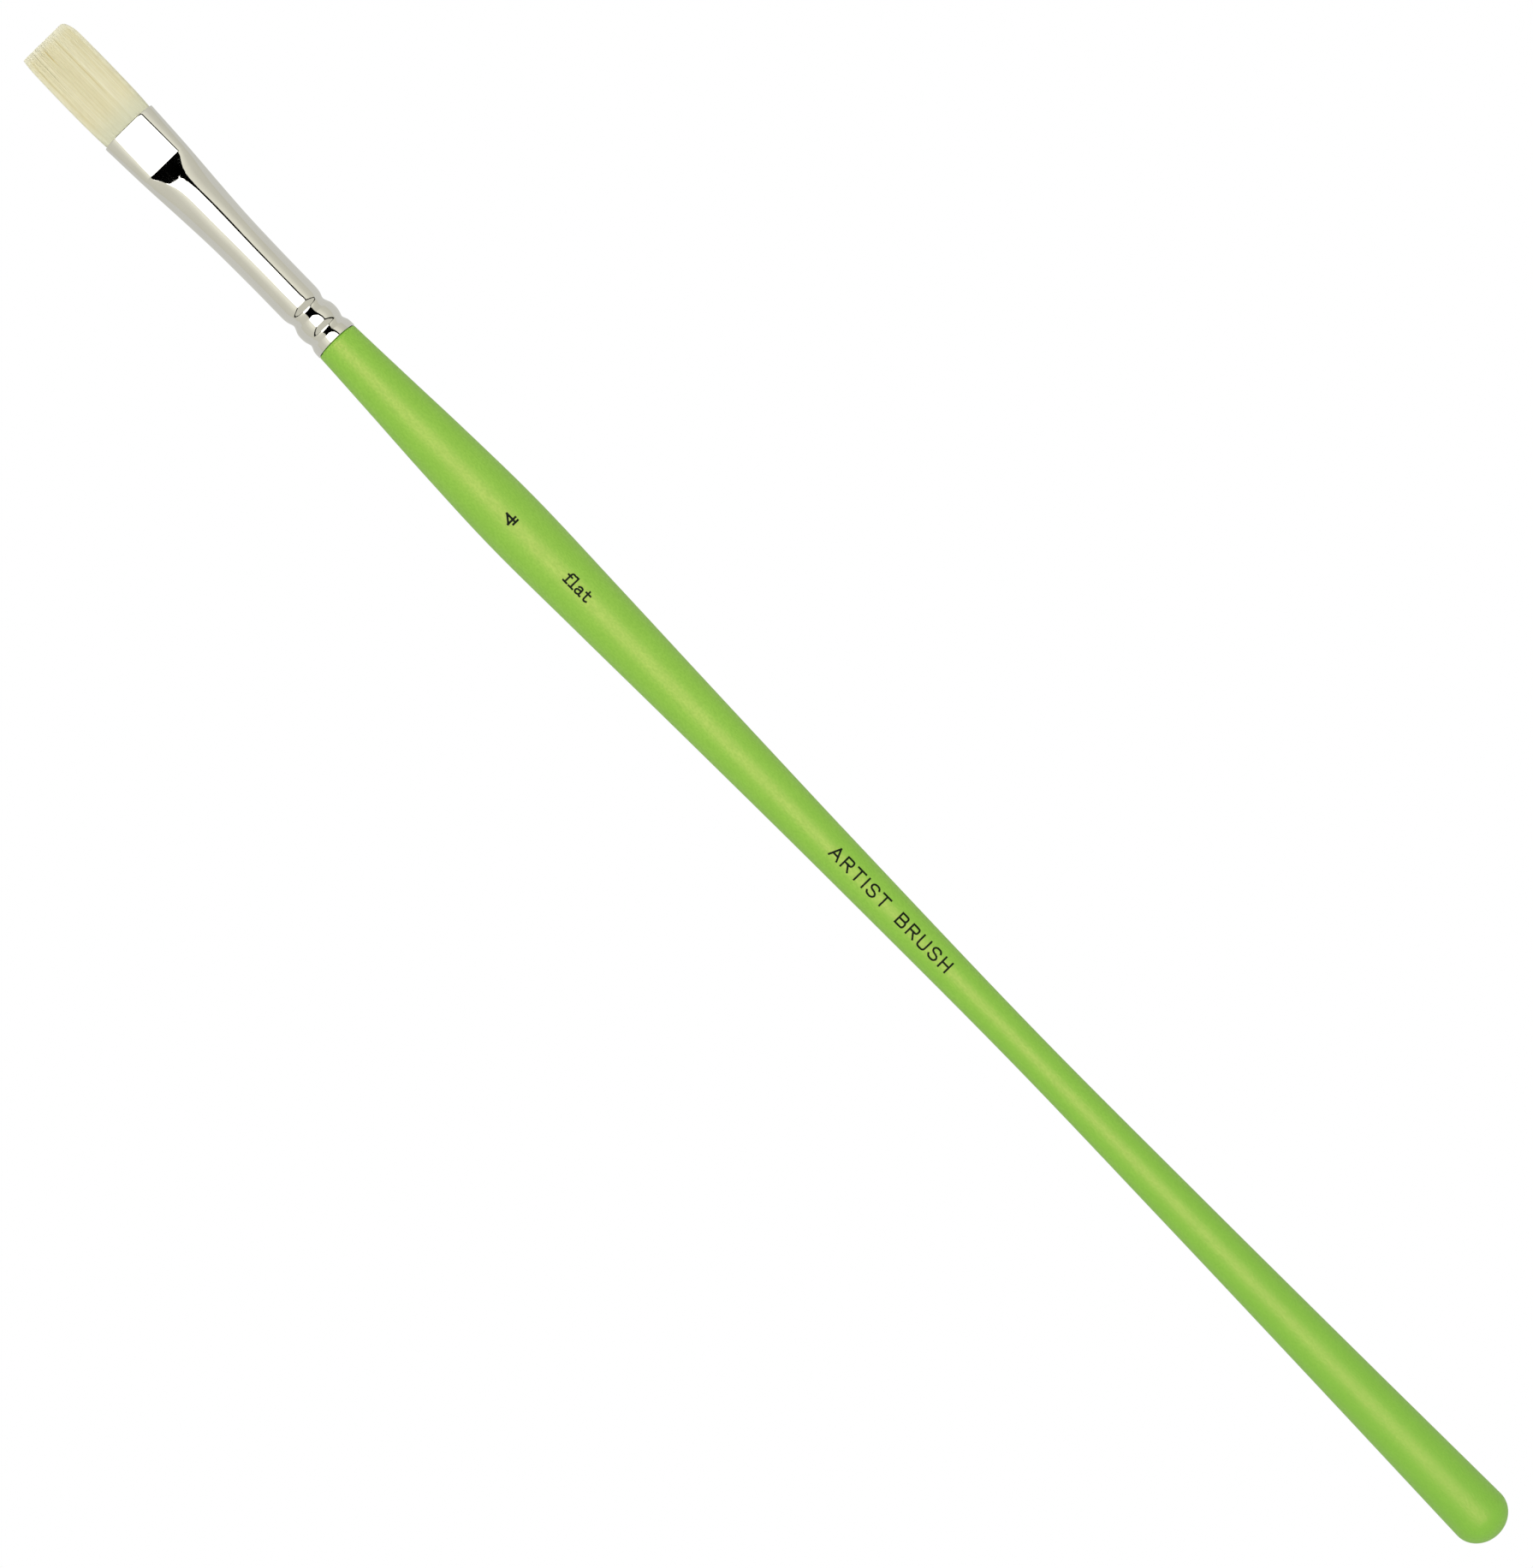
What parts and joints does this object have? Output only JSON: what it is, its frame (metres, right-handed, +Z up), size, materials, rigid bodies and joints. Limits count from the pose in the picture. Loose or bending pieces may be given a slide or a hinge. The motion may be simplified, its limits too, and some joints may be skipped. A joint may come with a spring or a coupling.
{
  "type": "flat paint brush",
  "caption": "Long-handled artist's flat brush: square synthetic tuft, plated ferrule pressed flat at the mouth, turned lacquered handle. The tuft bends and springs back.",
  "frame": {"origin": "on the surface the brush lies on, under the middle of its length and width; the belly of the handle touches Z = 0", "axes": "+X along the brush towards the tip of the tuft, +Y across the width of the flat tuft, +Z up, square to the ferrule's pressed panel"},
  "size_m": [0.3116, 0.01, 0.0099],
  "materials": {
    "handle_lacquer": "green pearl lacquer on turned hardwood",
    "ferrule_plate": "bright nickel plate on brass",
    "resin": "cured amber resin",
    "filaments": "cream synthetic filaments, satin",
    "print_ink": "black pad-printed ink"
  },
  "bodies": {
    "body": {"handle": "handle_lacquer", "ferrule": "ferrule_plate", "resin_plug": "resin", "tuft_root": "filaments"},
    "tuft_belly": {"tuft_belly": "filaments"},
    "tuft_tip": {"tuft_tip": "filaments"}
  },
  "joints": [
    {"name": "tuft_bend", "type": "hinge", "parent": "body", "child": "tuft_belly", "pos_m": [0.1393, 0, 0.00497], "axis": [0, 1, 0], "range_deg": [-35, 35], "stiffness_Nm_per_rad": 0.006},
    {"name": "tuft_tip_bend", "type": "hinge", "parent": "tuft_belly", "child": "tuft_tip", "pos_m": [0.1463, 0, 0.00497], "axis": [0, 1, 0], "range_deg": [-35, 35], "stiffness_Nm_per_rad": 0.003}
  ],
  "couplings": [
    {"joint": "tuft_tip_bend", "follows": "tuft_bend", "ratio": 1}
  ]
}
